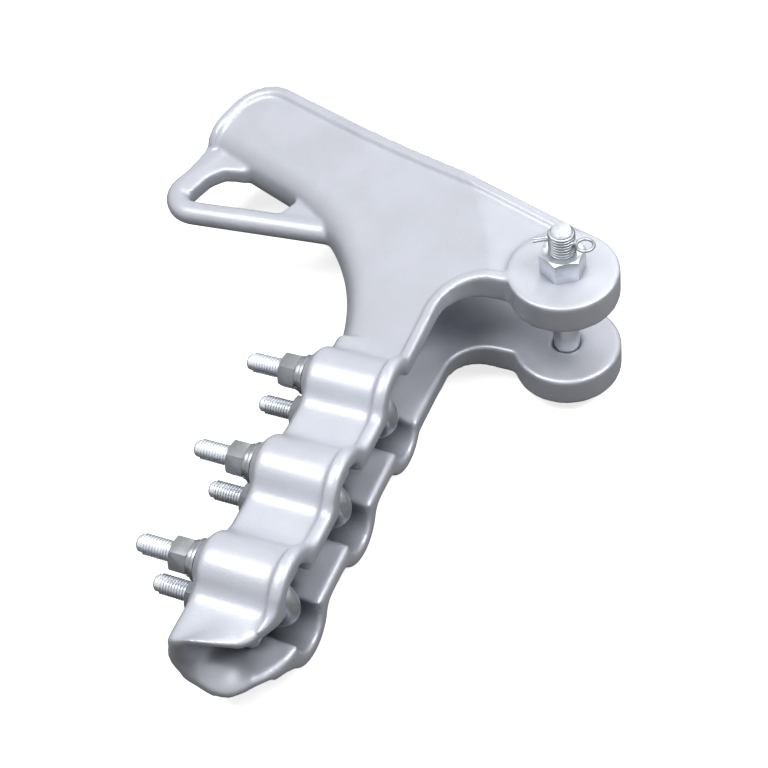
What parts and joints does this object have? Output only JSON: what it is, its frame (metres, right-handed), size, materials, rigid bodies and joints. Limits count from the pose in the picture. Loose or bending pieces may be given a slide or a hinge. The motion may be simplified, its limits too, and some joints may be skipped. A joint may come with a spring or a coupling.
{
  "type": "bolted strain clamp",
  "caption": "Gun-type bolted strain clamp: a cast body with a curved trough, U-bolts with keepers that grip the conductor, and a bolted clevis.",
  "frame": {"origin": "on the clevis bolt's axis, midway between the ears", "axes": "+Z along the clevis bolt towards its nut, +X square to the leg on the side of the clevis, with the U-bolts' threads pointing to -X, +Y up the leg towards the head"},
  "size_m": [0.3302, 0.4161, 0.1253],
  "materials": {
    "cast_body": "satin as-cast",
    "keepers": "satin as-cast",
    "u_bolt_hardware": "hot-dip galvanised",
    "clevis_hardware": "hot-dip galvanised",
    "split_pin": "hot-dip galvanised"
  },
  "bodies": {
    "body": {"clamp_body": "cast_body", "washer_1_upper": "u_bolt_hardware", "spring_washer_1_upper": "u_bolt_hardware", "washer_1_lower": "u_bolt_hardware", "spring_washer_1_lower": "u_bolt_hardware", "washer_2_upper": "u_bolt_hardware", "spring_washer_2_upper": "u_bolt_hardware", "washer_2_lower": "u_bolt_hardware", "spring_washer_2_lower": "u_bolt_hardware", "washer_3_upper": "u_bolt_hardware", "spring_washer_3_upper": "u_bolt_hardware", "washer_3_lower": "u_bolt_hardware", "spring_washer_3_lower": "u_bolt_hardware"},
    "clamp_1": {"u_bolt_1": "u_bolt_hardware", "keeper_1": "keepers"},
    "nut_1_upper": {"nut_1_upper": "u_bolt_hardware"},
    "nut_1_lower": {"nut_1_lower": "u_bolt_hardware"},
    "clamp_2": {"u_bolt_2": "u_bolt_hardware", "keeper_2": "keepers"},
    "nut_2_upper": {"nut_2_upper": "u_bolt_hardware"},
    "nut_2_lower": {"nut_2_lower": "u_bolt_hardware"},
    "clamp_3": {"u_bolt_3": "u_bolt_hardware", "keeper_3": "keepers"},
    "nut_3_upper": {"nut_3_upper": "u_bolt_hardware"},
    "nut_3_lower": {"nut_3_lower": "u_bolt_hardware"},
    "clevis_bolt": {"clevis_bolt": "clevis_hardware", "split_pin": "split_pin"},
    "clevis_nut": {"clevis_nut": "clevis_hardware"}
  },
  "joints": [
    {"name": "clamp_1_slide", "type": "slide", "parent": "body", "child": "clamp_1", "axis": [1, 0, 0], "range_m": [-0.007, 0.012]},
    {"name": "nut_1_upper_turn", "type": "hinge", "parent": "body", "child": "nut_1_upper", "pos_m": [-0.13296, -0.102, 0.0193], "axis": [-1, 0, 0], "range_deg": [-1442, 2470]},
    {"name": "nut_1_lower_turn", "type": "hinge", "parent": "body", "child": "nut_1_lower", "pos_m": [-0.13296, -0.102, -0.0193], "axis": [-1, 0, 0], "range_deg": [-1442, 2470]},
    {"name": "clamp_2_slide", "type": "slide", "parent": "body", "child": "clamp_2", "axis": [1, 0, 0], "range_m": [-0.007, 0.012]},
    {"name": "nut_2_upper_turn", "type": "hinge", "parent": "body", "child": "nut_2_upper", "pos_m": [-0.13296, -0.1704, 0.0193], "axis": [-1, 0, 0], "range_deg": [-1442, 2470]},
    {"name": "nut_2_lower_turn", "type": "hinge", "parent": "body", "child": "nut_2_lower", "pos_m": [-0.13296, -0.1704, -0.0193], "axis": [-1, 0, 0], "range_deg": [-1442, 2470]},
    {"name": "clamp_3_slide", "type": "slide", "parent": "body", "child": "clamp_3", "axis": [1, 0, 0], "range_m": [-0.007, 0.012]},
    {"name": "nut_3_upper_turn", "type": "hinge", "parent": "body", "child": "nut_3_upper", "pos_m": [-0.13296, -0.2388, 0.0193], "axis": [-1, 0, 0], "range_deg": [-1442, 2470]},
    {"name": "nut_3_lower_turn", "type": "hinge", "parent": "body", "child": "nut_3_lower", "pos_m": [-0.13296, -0.2388, -0.0193], "axis": [-1, 0, 0], "range_deg": [-1442, 2470]},
    {"name": "clevis_bolt_turn", "type": "hinge", "parent": "body", "child": "clevis_bolt", "pos_m": [0, 0, 0], "axis": [0, 0, 1], "continuous": true},
    {"name": "clevis_nut_turn", "type": "hinge", "parent": "clevis_bolt", "child": "clevis_nut", "pos_m": [0, 0, 0.0494], "axis": [0, 0, 1], "range_deg": [0, 990]}
  ],
  "couplings": [
    {"joint": "nut_1_upper_turn", "follows": "clamp_1_slide", "rad_per_m": 3590.4},
    {"joint": "nut_1_lower_turn", "follows": "clamp_1_slide", "rad_per_m": 3590.4},
    {"joint": "nut_2_upper_turn", "follows": "clamp_2_slide", "rad_per_m": 3590.4},
    {"joint": "nut_2_lower_turn", "follows": "clamp_2_slide", "rad_per_m": 3590.4},
    {"joint": "nut_3_upper_turn", "follows": "clamp_3_slide", "rad_per_m": 3590.4},
    {"joint": "nut_3_lower_turn", "follows": "clamp_3_slide", "rad_per_m": 3590.4}
  ]
}
